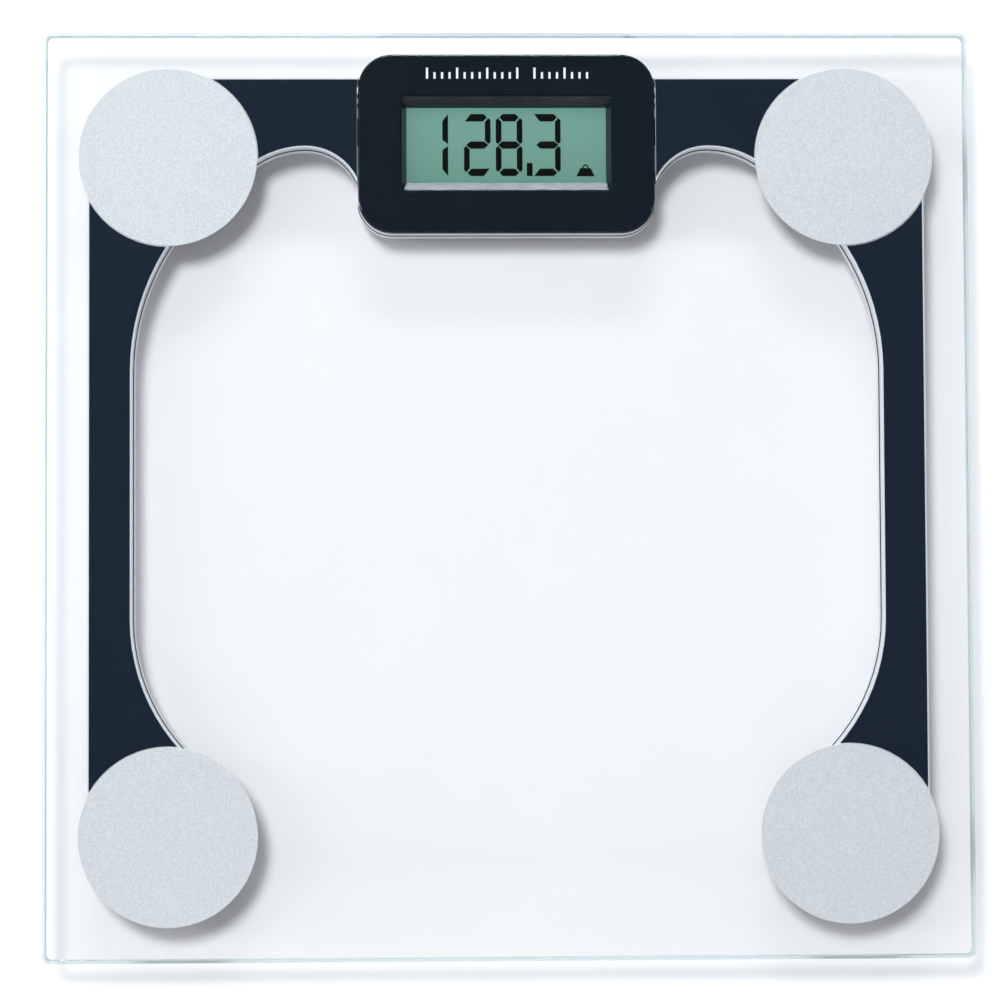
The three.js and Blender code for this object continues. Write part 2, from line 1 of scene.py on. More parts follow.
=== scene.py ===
"""Looks of the digital bathroom scale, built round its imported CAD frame.

Lengths on the object are in millimetres and scaled by MM; the lamps and camera are placed in
metres. +Z is up and +Y points at the display.
"""

import math

import bmesh
import bpy
from mathutils import Matrix, Vector


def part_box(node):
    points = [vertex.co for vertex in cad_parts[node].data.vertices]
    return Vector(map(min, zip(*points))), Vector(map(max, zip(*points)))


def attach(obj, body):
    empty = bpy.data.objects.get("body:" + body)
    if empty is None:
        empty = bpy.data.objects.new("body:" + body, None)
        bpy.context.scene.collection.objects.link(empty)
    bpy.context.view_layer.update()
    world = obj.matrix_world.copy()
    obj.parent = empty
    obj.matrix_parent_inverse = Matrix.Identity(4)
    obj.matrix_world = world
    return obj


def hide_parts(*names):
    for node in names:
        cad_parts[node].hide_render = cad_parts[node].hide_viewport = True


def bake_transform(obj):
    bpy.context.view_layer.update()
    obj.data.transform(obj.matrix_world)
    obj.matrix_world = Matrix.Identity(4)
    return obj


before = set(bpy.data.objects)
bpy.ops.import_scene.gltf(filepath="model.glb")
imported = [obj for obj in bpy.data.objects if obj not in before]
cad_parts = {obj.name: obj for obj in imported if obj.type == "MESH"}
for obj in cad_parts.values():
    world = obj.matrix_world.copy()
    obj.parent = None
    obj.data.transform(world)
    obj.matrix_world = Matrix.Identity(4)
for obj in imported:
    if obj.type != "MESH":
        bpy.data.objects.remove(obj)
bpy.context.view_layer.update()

scene = bpy.context.scene

MM = 0.001
CORNERS = ("far_left", "far_right", "near_left", "near_right")
SIDES = ("left", "right")
AIR_GAP = 0.05  # between the glass and what is stuck under it
FULL_TURN = 2 * math.pi


def middle(node):
    """Middle of a CAD node, in millimetres."""
    low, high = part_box(node)
    return (low + high) / 2 / MM


def span(node, axis):
    """Lowest and highest value of a CAD node along an axis, in millimetres."""
    low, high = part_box(node)
    return low[axis] / MM, high[axis] / MM


# ------------------------------------------------------------------ materials
def colour(red, green, blue):
    """Linear colour from display values of 0 to 255."""
    parts = [c / 255 for c in (red, green, blue)]
    return tuple(
        c / 12.92 if c <= 0.04045 else ((c + 0.055) / 1.055) ** 2.4 for c in parts
    ) + (1.0,)


def shade(tone, by):
    return tuple(min(1.0, c * by) for c in tone[:3]) + (1.0,)


class Surface:
    """A Principled material whose colour, roughness and relief come from procedural nodes."""

    def __init__(self, name, constants):
        self.material = bpy.data.materials.new(name)
        self.material.use_nodes = True
        self.tree = self.material.node_tree
        self.tree.nodes.clear()
        self.out = self.node("OutputMaterial")
        self.bsdf = self.node("BsdfPrincipled", constants)
        self.tree.links.new(self.bsdf.outputs["BSDF"], self.out.inputs["Surface"])
        self.place = self.node("TexCoord").outputs["Object"]

    def node(self, kind, inputs=None, **settings):
        made = self.tree.nodes.new("ShaderNode" + kind)
        for key, value in settings.items():
            setattr(made, key, value)
        for key, value in (inputs or {}).items():
            self.put(made.inputs[key], value)
        return made

    def put(self, socket, value):
        if isinstance(value, bpy.types.NodeSocket):
            self.tree.links.new(value, socket)
        else:
            socket.default_value = value

    def along(self, stretch):
        """The object's coordinates, stretched along each axis."""
        mapping = self.node("Mapping", {"Vector": self.place, "Scale": stretch})
        return mapping.outputs["Vector"]

    def noise(self, size, detail=2.0, stretch=None, rough=0.5):
        """Noise whose features are about this size, in millimetres."""
        where = self.along(stretch) if stretch else self.place
        inputs = {"Vector": where, "Scale": 1 / (size * MM), "Detail": detail, "Roughness": rough}
        return self.node("TexNoise", inputs).outputs[0]

    def cells(self, size, feature="F1"):
        inputs = {"Vector": self.place, "Scale": 1 / (size * MM)}
        return self.node("TexVoronoi", inputs, feature=feature).outputs["Distance"]

    def spread(self, value, low, high, source=(0.0, 1.0)):
        inputs = {0: value, 1: source[0], 2: source[1], 3: low, 4: high}
        return self.node("MapRange", inputs).outputs[0]

    def mix(self, factor, a, b):
        made = self.node("Mix", data_type="RGBA")
        for index, value in ((0, factor), (6, a), (7, b)):
            self.put(made.inputs[index], value)
        return made.outputs[2]

    def maths(self, operation, a, b=0.0):
        return self.node("Math", {0: a, 1: b}, operation=operation).outputs[0]

    def relief(self, height, depth, strength=1.0):
        """Bump from a height of 0 to 1, depth millimetres deep."""
        inputs = {"Height": height, "Distance": depth * MM, "Strength": strength}
        self.put(self.bsdf.inputs["Normal"], self.node("Bump", inputs).outputs[0])

    def set(self, **values):
        for key, value in values.items():
            self.put(self.bsdf.inputs[key.replace("_", " ")], value)
        return self.material


def moulded(name, tone, rough=(0.34, 0.46), grain=0.28, depth=0.012, patch=0.08, shine=0.5):
    """Moulded plastic: fine spark-eroded grain, faint flow marks and uneven gloss."""
    s = Surface(name, {"IOR": 1.49, "Specular IOR Level": shine})
    flow = s.noise(24, 3)
    fine = s.noise(grain, 3, rough=0.65)
    base = s.mix(flow, shade(tone, 1 - patch), shade(tone, 1 + patch))
    speck = s.mix(s.spread(fine, 0, 1, (0.35, 0.65)), shade(tone, 0.86), shade(tone, 1.14))
    s.relief(fine, depth)
    gloss = s.maths("MULTIPLY_ADD", flow, 0.4)
    gloss.node.inputs[2].default_value = 0.3
    return s.set(Base_Color=s.mix(0.35, base, speck), Roughness=s.spread(gloss, *rough, (0.4, 0.6)))


def metal(name, tone, rough=(0.22, 0.38), stretch=(1, 24, 1), lines=0.35, depth=0.004):
    """Plated sheet metal with drawing lines along one axis."""
    s = Surface(name, {"Metallic": 1.0, "Anisotropic": 0.3})
    drawn = s.noise(lines, 4, stretch)
    cloud = s.noise(6, 3)
    base = s.mix(drawn, shade(tone, 0.82), shade(tone, 1.08))
    stain = s.mix(s.spread(cloud, 0, 1, (0.45, 0.75)), base, shade(tone, 0.7))
    s.relief(drawn, depth)
    return s.set(Base_Color=s.mix(0.3, base, stain), Roughness=s.spread(drawn, *rough, (0.3, 0.7)))


def satin_silver():
    """Silver film with a fine metallic fleck."""
    tone = colour(238, 241, 246)
    s = Surface("satin_silver", {"Metallic": 0.45, "Specular IOR Level": 0.4})
    fleck = s.cells(0.6)
    fine = s.noise(0.3, 3, rough=0.7)
    cloud = s.noise(30, 2)
    base = s.mix(cloud, shade(tone, 0.975), shade(tone, 1.02))
    spark = s.mix(s.spread(fleck, 0, 1, (0.15, 0.6)), shade(tone, 1.2), shade(tone, 0.86))
    s.relief(fine, 0.01, 0.6)
    return s.set(Base_Color=s.mix(0.6, base, spark), Roughness=s.spread(fine, 0.4, 0.58, (0.3, 0.7)))


def clear_glass(name, tint, rough, lets_through, clear=1.0):
    """Toughened glass. Lamps shine through it, so it casts a faint shadow."""
    s = Surface(name, {"IOR": 1.5, "Transmission Weight": clear})
    smear = s.noise(45, 4)
    s.set(
        Base_Color=s.mix(s.spread(smear, 0, 1, (0.3, 0.7)), shade(tint, 0.985), tint),
        Roughness=s.spread(smear, *rough, (0.4, 0.75)),
    )
    path = s.node("LightPath").outputs
    through = s.node("BsdfTransparent", {"Color": shade(tint, lets_through)}).outputs[0]
    shown = s.bsdf.outputs[0]
    for ray in ("Is Diffuse Ray", "Is Shadow Ray"):
        shown = s.node("MixShader", {0: path[ray], 1: shown, 2: through}).outputs[0]
    s.put(s.out.inputs["Surface"], shown)
    return s.material


def rubber_black():
    tone = colour(38, 38, 40)
    s = Surface("foot_rubber", {"Specular IOR Level": 0.3})
    dust = s.noise(3, 5, rough=0.7)
    fine = s.noise(0.35, 4)
    s.relief(fine, 0.03)
    worn = s.mix(s.spread(dust, 0, 1, (0.5, 0.72)), tone, colour(74, 73, 72))
    return s.set(Base_Color=worn, Roughness=s.spread(fine, 0.72, 0.92))


def lcd_face():
    """Reflective liquid crystal panel: green, with painted light making it a little brighter towards
    its far edge.
    """
    near, far = span("lcd_panel", 1)
    s = Surface("lcd_green", {"Coat Weight": 0.6, "Coat Roughness": 0.05})
    axes = s.node("SeparateXYZ", {0: s.place}).outputs
    painted_light_ramp = s.spread(axes[1], 0, 1, (near * MM, far * MM))
    weave = s.noise(0.16, 2, (1, 3, 1))
    # painted light and shade: darker green at the near edge, lighter at the far edge
    tone = s.mix(painted_light_ramp, colour(100, 143, 129), colour(112, 157, 144))
    s.relief(weave, 0.002)
    return s.set(
        Base_Color=s.mix(s.spread(weave, 0, 0.3), tone, colour(96, 138, 124)),
        Roughness=s.spread(weave, 0.4, 0.55),
    )


def ink(name, tone):
    s = Surface(name, {"Specular IOR Level": 0.12})
    fine = s.noise(0.2, 2)
    s.relief(fine, 0.003)
    return s.set(
        Base_Color=s.mix(fine, shade(tone, 0.9), shade(tone, 1.08)),
        Roughness=s.spread(fine, 0.45, 0.6),
    )


def solder_mask():
    """Green board with paler lines where copper tracks run under the lacquer."""
    s = Surface("solder_mask", {"Coat Weight": 0.5, "Coat Roughness": 0.15})
    edge = s.cells(3.2, "DISTANCE_TO_EDGE")
    track = s.spread(edge, 1, 0, (0.03, 0.07))
    weave = s.noise(0.5, 2, (1, 1, 1))
    board = s.mix(weave, colour(22, 84, 48), colour(30, 100, 58))
    s.relief(track, 0.035)
    return s.set(
        Base_Color=s.mix(track, board, colour(58, 138, 78)),
        Roughness=s.spread(weave, 0.3, 0.45),
    )


def zebra_rubber():
    """Silicone strip with fine carbon layers across it."""
    s = Surface("zebra_rubber", {"Specular IOR Level": 0.3})
    axes = s.node("SeparateXYZ", {0: s.place}).outputs
    wave = s.maths("SINE", s.maths("MULTIPLY", axes[0], FULL_TURN / (0.5 * MM)))
    stripe = s.spread(wave, 0, 1, (-0.2, 0.2))
    fine = s.noise(0.4, 3)
    s.relief(fine, 0.01)
    return s.set(
        Base_Color=s.mix(stripe, colour(38, 32, 34), colour(206, 150, 158)),
        Roughness=s.spread(fine, 0.6, 0.8),
    )


def epoxy_black():
    s = Surface("glob_epoxy", {"IOR": 1.55})
    pit = s.noise(0.8, 4)
    s.relief(pit, 0.03)
    tone = colour(24, 24, 26)
    return s.set(
        Base_Color=s.mix(pit, shade(tone, 0.7), shade(tone, 1.3)),
        Roughness=s.spread(pit, 0.25, 0.5),
    )


def pale_floor():
    s = Surface("floor", {"Specular IOR Level": 0.0})
    cloud = s.noise(400, 2)
    return s.set(
        Base_Color=s.mix(cloud, (0.808, 0.794, 0.805, 1), (0.828, 0.814, 0.824, 1)),
        Roughness=s.spread(cloud, 0.9, 1.0),
    )


NAVY = (0.0034, 0.0072, 0.013, 1)
GLASS = clear_glass("clear_glass", (0.953, 0.958, 0.957, 1), (0.0, 0.012), 0.97)
GLASS_EDGE = clear_glass("polished_edge", (0.61, 0.71, 0.74, 1), (0.02, 0.06), 0.6, 0.72)
SILVER = satin_silver()
FILM = moulded("dark_film", shade(NAVY, 1.9), (0.4, 0.5), 0.5, 0.003, 0.05, 0.12)
LENS = moulded("display_film", NAVY, (0.4, 0.5), 0.5, 0.003, 0.05, 0.12)
HOUSING = moulded("housing_plastic", NAVY, (0.06, 0.12), 0.35, 0.001)
PALE = moulded("pale_plastic", (0.7, 0.73, 0.77, 1), (0.28, 0.4), 0.4, 0.01, 0.04)
FOOT = moulded("foot_plastic", colour(52, 57, 62), (0.4, 0.55), 0.4, 0.02)
BUTTON = moulded("button_plastic", colour(150, 156, 162), (0.35, 0.5), 0.3, 0.015)
SWITCH = moulded("switch_plastic", colour(40, 40, 43), (0.4, 0.5), 0.3, 0.015)
SLEEVE = moulded("wire_sleeve", colour(38, 38, 41), (0.4, 0.5), 0.5, 0.02)
RUBBER = rubber_black()
PLATED = metal("plated_steel", (0.6, 0.61, 0.62, 1))
ZINC = metal("zinc_screw", (0.62, 0.64, 0.68, 1), (0.25, 0.4), (1, 1, 6), 0.5)
CAN = metal("cell_can", (0.68, 0.68, 0.66, 1), (0.16, 0.3), (1, 10, 1), 0.3)
BRASS = metal("spring_metal", (0.72, 0.6, 0.34, 1), (0.22, 0.36), (12, 1, 1), 0.3)
TIN = metal("tinned_copper", (0.75, 0.75, 0.74, 1), (0.3, 0.45), (1, 1, 1), 0.6)
BOARD = solder_mask()
EPOXY = epoxy_black()
ZEBRA = zebra_rubber()
LCD = lcd_face()
DIGIT_INK = ink("digit_ink", colour(2, 3, 4))
WHITE_INK = ink("white_ink", colour(232, 235, 238))
GAUGE = ink("gauge_lacquer", colour(226, 220, 198))
CERAMIC = ink("ceramic", colour(150, 118, 84))


# ------------------------------------------------------------------ mesh tools
def piece(name, bm, material, body="root", stands_for=(), smooth=32.0, materials=()):
    """Turns a bmesh into a named piece that rides on a CAD body."""
    bmesh.ops.recalc_face_normals(bm, faces=bm.faces)
    mesh = bpy.data.meshes.new(name)
    bm.to_mesh(mesh)
    bm.free()
    for m in (material, *materials):
        mesh.materials.append(m)
    mesh.shade_smooth()
    mesh.set_sharp_from_angle(angle=math.radians(smooth))
    made = bpy.data.objects.new(name, mesh)
    scene.collection.objects.link(made)
    even = made.modifiers.new("even_flats", "WEIGHTED_NORMAL")
    even.keep_sharp = True
    if body:
        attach(made, body)
    if stands_for:
        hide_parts(*stands_for)
    return made


def from_cad(node):
    """A CAD node's mesh as a bmesh, with shared corners and its flat faces in one piece."""
    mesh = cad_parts[node].data.copy()
    normals = mesh.attributes.get("custom_normal")
    if normals:
        mesh.attributes.remove(normals)
    bm = bmesh.new()
    bm.from_mesh(mesh)
    bpy.data.meshes.remove(mesh)
    bmesh.ops.remove_doubles(bm, verts=bm.verts, dist=0.003 * MM)
    bmesh.ops.dissolve_limit(bm, angle_limit=math.radians(0.6), verts=bm.verts, edges=bm.edges)
    for face in bm.faces:
        face.material_index = 0
    return bm


def anywhere(a, b):
    return True


def soften(bm, width, steps=2, only=anywhere, angle=35):
    """Rounds the outward edges sharper than angle whose two ends, in millimetres, pass only()."""
    bm.normal_update()
    edges = [
        e
        for e in bm.edges
        if len(e.link_faces) == 2
        and e.is_convex
        and e.calc_face_angle(0) > math.radians(angle)
        and only(*(v.co / MM for v in e.verts))
    ]
    bmesh.ops.bevel(
        bm,
        geom=edges,
        offset=width * MM,
        offset_type="OFFSET",
        segments=steps,
        profile=0.5,
        affect="EDGES",
        clamp_overlap=True,
    )


def at_top(high):
    """For soften(): the edges that lie at this height, a piece's highest."""
    return lambda a, b: min(a.z, b.z) > high - 0.01


def at_bottom(low):
    """For soften(): the edges that lie at this height, a piece's lowest."""
    return lambda a, b: max(a.z, b.z) < low + 0.01


def refined(node, material, width, body="root"):
    """A CAD node with its outward edges rounded."""
    bm = from_cad(node)
    soften(bm, width)
    piece(node + "_moulded", bm, material, body, [node])


def rounded(profile, radius, steps=4):
    """A profile of (radius, height) pairs with its inner corners rounded."""
    points = [Vector(p) for p in profile]
    made = [points[0]]
    for before, corner, after in zip(points, points[1:], points[2:]):
        to_before, to_after = before - corner, after - corner
        reach = min(radius, to_before.length * 0.45, to_after.length * 0.45)
        start = corner + to_before.normalized() * reach
        end = corner + to_after.normalized() * reach
        for i in range(steps + 1):
            t = i / steps
            made.append((1 - t) ** 2 * start + 2 * t * (1 - t) * corner + t * t * end)
    made.append(points[-1])
    return [tuple(p) for p in made]


def lathe(profile, centre, sides=96):
    """A body of revolution from (radius, height) pairs; a pair on the axis makes one point."""
    bm = bmesh.new()
    x, y, z = centre
    angles = [FULL_TURN * i / sides for i in range(sides)]
    rows = []
    for r, h in profile:
        spots = [(r * math.cos(a), r * math.sin(a)) for a in angles] if r > 1e-6 else [(0, 0)]
        rows.append([bm.verts.new(Vector((x + dx, y + dy, z + h)) * MM) for dx, dy in spots])
    for a, b in zip(rows, rows[1:]):
        for i in range(sides):
            j = (i + 1) % sides
            corners = [a[i % len(a)], a[j % len(a)], b[j % len(b)], b[i % len(b)]]
            bm.faces.new(dict.fromkeys(corners))
    return bm


def plates(outlines, low, high):
    """Flat shapes, each a closed outline of (x, y) points, between two heights in millimetres."""
    bm = bmesh.new()
    for outline in outlines:
        under = [bm.verts.new(Vector((x, y, low)) * MM) for x, y in outline]
        over = [bm.verts.new(Vector((x, y, high)) * MM) for x, y in outline]
        bm.faces.new(under[::-1])
        bm.faces.new(over)
        for i, _ in enumerate(outline):
            j = (i + 1) % len(outline)
            bm.faces.new((under[i], under[j], over[j], over[i]))
    return bm


def rectangle(x, y, width, depth):
    a, b = width / 2, depth / 2
    return [(x - a, y - b), (x + a, y - b), (x + a, y + b), (x - a, y + b)]


# ------------------------------------------------------------------ platform
def glass_platform():
    """Rounded square plate with ground, polished edges."""
    low, high = (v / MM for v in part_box("glass_platform"))
    half, corner, arris, micro, steps = high.x, 3.0, 1.15, 0.1, 12
    under, over = low.z + AIR_GAP, high.z
    side = [
        (arris + micro, 0.0),
        (arris - micro * 0.7, micro * 0.3),
        (micro * 0.3, arris - micro * 0.7),
        (0.0, arris + micro),
    ]
    rows = [(inset, under + up) for inset, up in side]
    rows += [(inset, over - up) for inset, up in reversed(side)]
    bm = bmesh.new()
    rings = []
    for inset, z in rows:
        ring = []
        for k in range(4):
            sx, sy = ((1, 1), (-1, 1), (-1, -1), (1, -1))[k]
            for i in range(steps + 1):
                a = (k + i / steps) * math.pi / 2
                r = corner - inset
                x = sx * (half - corner) + r * math.cos(a)
                y = sy * (half - corner) + r * math.sin(a)
                ring.append(bm.verts.new(Vector((x, y, z)) * MM))
        rings.append(ring)
    bm.faces.new(rings[0][::-1])
    bm.faces.new(rings[-1])
    count = len(rings[0])
    for a, b in zip(rings, rings[1:]):
        for i in range(count):
            j = (i + 1) % count
            bm.faces.new((a[i], a[j], b[j], b[i])).material_index = 1
    made = piece(
        "glass_platform_polished",
        bm,
        GLASS,
        stands_for=["glass_platform"],
        materials=[GLASS_EDGE],
    )
    for face in made.data.polygons:
        face.use_smooth = face.material_index == 1


def corner_discs():
    for corner in CORNERS:
        node = "corner_disc_" + corner
        x, y, _ = middle(node)
        radius = (span(node, 0)[1] - span(node, 0)[0]) / 2
        low, high = span(node, 2)
        profile = rounded([(0, 0), (radius, 0), (radius, high - low), (0, high - low)], 0.16)
        bm = lathe(profile, (x, y, low), 160)
        piece(node + "_satin", bm, SILVER, stands_for=[node])


# ------------------------------------------------------------------ side frames
BAR_END = 48.75  # the bars' ends, beside the display unit, are nearer to the middle than this
BAR_SIDES = (96, 136.5)  # between these the bars stand beside the display unit
UNIT_CORNER = 11  # corner radius of the display unit
FRAME_SHADE_LINE = (12.8, 13.2)  # heights of the parting line along the frames' walls, painted dark as shade
UNIT_SHADE_LINE = (11.7, 12.1)  # heights of the display unit's parting line, left dark as painted shade
UNIT_SKIRT = 15.6  # where the display unit's walls start to flare


def wall_profile(bm, profile, outer, painted_shade_band=None, free=None):
    """Gives the outer walls a section: pairs of a height and how far the wall stands out there.

    outer(x, y) tells a corner of the outline from the rest of the top face's corners, and
    free(x, y) where nothing stands beside the wall. Faces between the two heights of the shade
    band take the piece's second material, a dark colour painted on as the shade in the parting line.
    """
    top = max(v.co.z for v in bm.verts)
    outline = {
        (round(v.co.x, 5), round(v.co.y, 5))
        for v in bm.verts
        if v.co.z > top - 0.01 * MM and outer(v.co.x / MM, v.co.y / MM)
    }
    for z, _ in profile[:-1]:
        everything = bm.verts[:] + bm.edges[:] + bm.faces[:]
        level = {"plane_co": (0, 0, z * MM), "plane_no": (0, 0, 1)}
        bmesh.ops.bisect_plane(bm, geom=everything, dist=1e-7, **level)
    bm.normal_update()
    moves = []
    for v in bm.verts:
        if (round(v.co.x, 5), round(v.co.y, 5)) not in outline:
            continue
        for z, out in profile:
            if out > 0 and free and not free(v.co.x / MM, v.co.y / MM):
                continue
            if abs(v.co.z / MM - z) < 0.005:
                upright = [f.normal for f in v.link_faces if abs(f.normal.z) < 0.1]
                across = sum((Vector((n.x, n.y, 0)) for n in upright), Vector())
                if across.length > 0.1:
                    moves.append((v, across.normalized() * out * MM))
    for v, step in moves:
        v.co += step
    for face in bm.faces if painted_shade_band else ():
        heights = [v.co.z / MM for v in face.verts]
        if min(heights) > painted_shade_band[0] - 0.01 and max(heights) < painted_shade_band[1] + 0.01:
            face.material_index = 1


def off_display(x, y):
    """True for what isn't the end of a bar, beside the display unit."""
    return abs(x) > BAR_END


def unit_edge(x, y):
    """True at the rounded rectangle that the display unit's outer walls follow."""
    low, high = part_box("display_housing")
    dx = max(abs(x) - high.x / MM + UNIT_CORNER, 0)
    dy = max(abs(y - (low.y + high.y) / 2 / MM) - (high.y - low.y) / 2 / MM + UNIT_CORNER, 0)
    return math.hypot(dx, dy) > UNIT_CORNER - 1


def off_bars(x, y):
    """True on the display unit's outline where no bar stands beside it."""
    return y < BAR_SIDES[0] or y > BAR_SIDES[1]


def side_frames():
    for side in SIDES:
        node = "side_frame_" + side
        bm = from_cad(node)
        low, high = span(node, 2)
        line_low, line_high = FRAME_SHADE_LINE
        flare = [(line_high, 0.1), (line_low, 0.4), (low, 0.6)]
        # the band between the parting line's heights takes the dark film: painted shade in the joint
        wall_profile(bm, flare, off_display, FRAME_SHADE_LINE)
        rim = at_top(high)
        soften(bm, 0.3, 3, lambda a, b: rim(a, b) and off_display(*a.xy) and off_display(*b.xy))
        soften(bm, 0.3, 2, at_bottom(low))
        for face in bm.faces:
            if abs(face.calc_center_median().x) < BAR_END * MM:
                face.material_index = 1
        piece(node + "_moulded", bm, PALE, stands_for=[node], materials=[FILM])
        for kind in ("bar_cover_", "arm_cover_"):
            refined(kind + side, PALE, 0.18)
        for kind in ("bar_tape_", "arm_tape_"):
            refined(kind + side, FILM, 0.05)


# ------------------------------------------------------------------ display unit
def display_housing():
    node = "display_housing"
    bm = from_cad(node)
    _, y0, _ = middle(node)
    low, high = span(node, 2)
    line_low, line_high = UNIT_SHADE_LINE
    rim = at_top(high)
    window_ledges(bm, y0)
    profile = [(high, -0.6), (high - 0.24, 0), (UNIT_SKIRT, 0.05)]
    profile += [(line_high, 0.15), (line_low, 0.42), (low, 0.55)]
    wall_profile(bm, profile, unit_edge, free=off_bars)
    soften(bm, 0.12, 2, lambda a, b: 17 < min(a.z, b.z) < 17.3 and unit_edge(*a.xy))
    soften(bm, 0.3, 3, lambda a, b: rim(a, b) and not unit_edge(*a.xy), 20)
    soften(bm, 0.3, 2, at_bottom(low))
    # pale walls below the skirt, except the parting line, which keeps the dark colour as painted shade
    for face in bm.faces:
        mid = face.calc_center_median() / MM
        wall = mid.z < UNIT_SKIRT and unit_edge(mid.x, mid.y) and off_bars(mid.x, mid.y)
        face.material_index = int(wall and not line_low < mid.z < line_high)
    name = node + "_moulded"
    made = piece(name, bm, HOUSING, stands_for=[node], smooth=20, materials=[PALE])
    largest_rounded = 12  # square millimetres; larger faces are flat
    for face in made.data.polygons:
        face.use_smooth = face.area < largest_rounded * MM**2
    refined("display_tape", LENS, 0.05)


# Corners of the bends in the window's walls: across, along from the unit's middle, and height.
NEAR_LEDGE = (33.35, -14.85, 14.9)
FAR_LEDGE = (33.3, 13.2, 15.9)


def window_ledges(bm, y0):
    """Bends the window's walls: a shallow ledge above the near edge, and one below the far edge."""
    made = {}
    for e in bm.edges[:]:
        mid = (e.verts[0].co + e.verts[1].co) / 2 / MM
        tall = abs(e.verts[0].co.z - e.verts[1].co.z) > 3 * MM
        if not (tall and 30 < abs(mid.x) < 36 and 11 < abs(mid.y - y0) < 17):
            continue
        x, y, z = NEAR_LEDGE if mid.y < y0 else FAR_LEDGE
        _, v = bmesh.utils.edge_split(e, e.verts[0], 0.5)
        v.co = Vector((math.copysign(x, mid.x), y0 + y, z)) * MM
        made[mid.x > 0, mid.y > y0] = v
    for a, b in (((0, 0), (1, 0)), ((0, 1), (1, 1)), ((0, 0), (0, 1)), ((1, 0), (1, 1))):
        bmesh.ops.connect_verts(bm, verts=[made[tuple(map(bool, a))], made[tuple(map(bool, b))]])


DIGIT = {"width": 8.7, "height": 20.4, "top": 1.98, "upright": 1.85, "level": 2.45}
READING = (("1", -27.7), ("2", -13.8), ("8", -3.4), ("3", 9.1))  # characters, left edges
POINT = {"x": 7.65, "width": 1.9, "height": 4.3}
INK = (0.004, 0.03)  # heights of printed ink above the face under it
MARK = {"pitch": 2.45, "width": 0.7, "long": 3.6, "short": 2.1, "every": 4}
MARK_GROUPS = ((-25.8, 13), (9.2, 8))  # first mark's place, number of marks


def segments(character):
    """Outlines of a character's lit segments, from the lower left corner of its cell."""
    w, h, v, t = DIGIT["width"], DIGIT["height"], DIGIT["upright"], DIGIT["level"]
    mid = h / 2

    def across(points):
        return [(w - x, y) for x, y in points]

    def down(points):
        return [(x, h - y) for x, y in points]

    tip, end = (1.15, h - 1.1), (2.25, h)
    joined_left, joined_right = [(t, h - t), tip, end], across([end, tip, (t, h - t)])
    top = joined_left + joined_right
    from_below = [(0.3, h - t), end] + joined_right
    from_above = [(1.9, h - t), (0.0, h)] + joined_right
    upper_left = [(0, h - 2.0), (0.8, h - 1.3), (v, h - 2.65)]
    upper_left += [(v, mid + 1.5), (0.75, mid + 0.35), (0, mid + 0.9)]
    centre = [(0.7, mid), (2.1, mid + 1.2), (w - 2.1, mid + 1.2)]
    centre += [(w - 0.7, mid), (w - 2.1, mid - 1.2), (2.1, mid - 1.2)]
    blade = [(w, h), (w, mid + 0.3), (w - v, mid + 1.7), (w - v, h - 2.3)]
    upper_right = across(upper_left)
    return {
        "1": [blade, down(blade)],
        "2": [from_below, upper_right, centre, down(upper_left), across(down(from_below))],
        "3": [from_above, upper_right, centre, down(upper_right), down(from_above)],
        "8": [top, upper_left, upper_right, centre, down(upper_left), down(upper_right), down(top)],
    }[character]


def lcd():
    node = "lcd_panel"
    bm = from_cad(node)
    soften(bm, 0.15, 2)
    piece(node + "_cell", bm, LCD, stands_for=[node])
    _, y0, _ = middle(node)
    face = span(node, 2)[1]
    window_top = y0 + 12.3
    base = window_top - DIGIT["top"] - DIGIT["height"]
    lit = []
    for character, left in READING:
        lit += [[(left + x, base + y) for x, y in outline] for outline in segments(character)]
    lit.append(rectangle(POINT["x"], base + POINT["height"] / 2, POINT["width"], POINT["height"]))
    ink_low, ink_high = (face + up for up in INK)
    piece("lcd_digits", plates(lit, ink_low, ink_high), DIGIT_INK)
    weight = [(22.9, 0), (28.9, 0), (27.6, 2.7), (24.2, 2.7)]
    handle = []
    for r, order in ((1.0, 1), (0.55, -1)):
        angles = [math.radians(a) for a in range(-20, 201, 20)][::order]
        handle += [(25.9 + r * math.cos(a), 2.95 + r * math.sin(a)) for a in angles]
    marks = [[(x, base - 0.1 + y) for x, y in outline] for outline in (weight, handle)]
    piece("lcd_unit_mark", plates(marks, ink_low, ink_high), DIGIT_INK)


def graduations():
    """Two groups of plain white graduation marks above the window."""
    film = span("display_tape", 2)[1]
    base = middle("display_tape")[1] + 21.2
    marks = []
    for first, count in MARK_GROUPS:
        for i in range(count):
            height = MARK["short"] if i % MARK["every"] else MARK["long"]
            marks.append(rectangle(first + i * MARK["pitch"], base + height / 2, MARK["width"], height))
    piece("graduation_marks", plates(marks, film + 0.004, film + 0.02), WHITE_INK)


# ------------------------------------------------------------------ underside
# Head radius, head height, shank radius and length of each kind of screw.
COVER_SCREW = (2.3, 0.8, 1.2, 5)
BOARD_SCREW = (2.2, 1.0, 0.9, 4.4)
CASE_SCREW = (2.7, 1.2, 1.2, 9)


